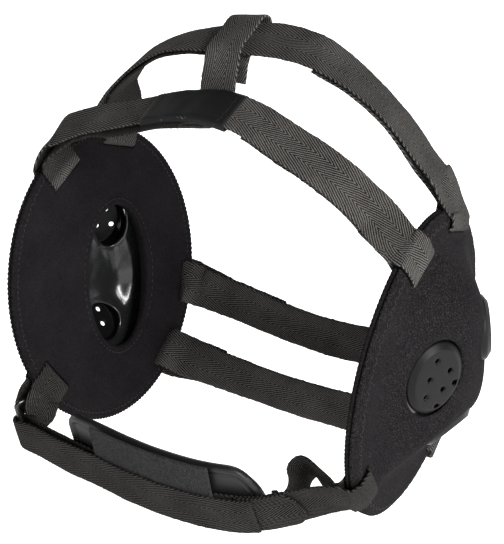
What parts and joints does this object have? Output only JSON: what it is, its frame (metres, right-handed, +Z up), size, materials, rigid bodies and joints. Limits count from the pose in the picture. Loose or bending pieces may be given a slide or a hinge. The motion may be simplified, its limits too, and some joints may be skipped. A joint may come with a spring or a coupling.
{
  "type": "wrestling ear guard",
  "caption": "Pair of padded domed ear cups joined by webbing straps over the crown, behind the head and under the chin.",
  "frame": {"origin": "midway between the two ear cups, on the line through the wearer's ears, where the head holds the guard", "axes": "+X to the wearer's left, +Y to the back of the head, +Z up"},
  "size_m": [0.2506, 0.1481, 0.2332],
  "materials": {
    "ear_foam": "smooth closed-cell foam skin, matte",
    "shell_plastic": "satin moulded plastic",
    "cover_neoprene": "jersey-faced neoprene",
    "webbing": "herringbone twill webbing",
    "label_satin": "plain woven satin",
    "ring_plastic": "glossy",
    "loop_pile": "fuzzy loop pile",
    "chin_rubber": "smooth moulded"
  },
  "bodies": {
    "root": {"left_ear_pad": "ear_foam", "left_ear_shell": "shell_plastic", "left_ear_cover": "cover_neoprene", "right_ear_pad": "ear_foam", "right_ear_shell": "shell_plastic", "right_ear_cover": "cover_neoprene", "front_top_strap": "webbing", "rear_top_strap": "webbing", "cross_strap": "webbing", "label_sleeve": "label_satin", "upper_back_strap": "webbing", "lower_back_strap": "webbing", "chin_strap": "webbing", "chin_anchor_loop": "webbing", "chin_ring": "ring_plastic", "chin_hook_tab": "webbing", "chin_loop_strip": "loop_pile", "chin_pad": "chin_rubber"}
  },
  "joints": []
}
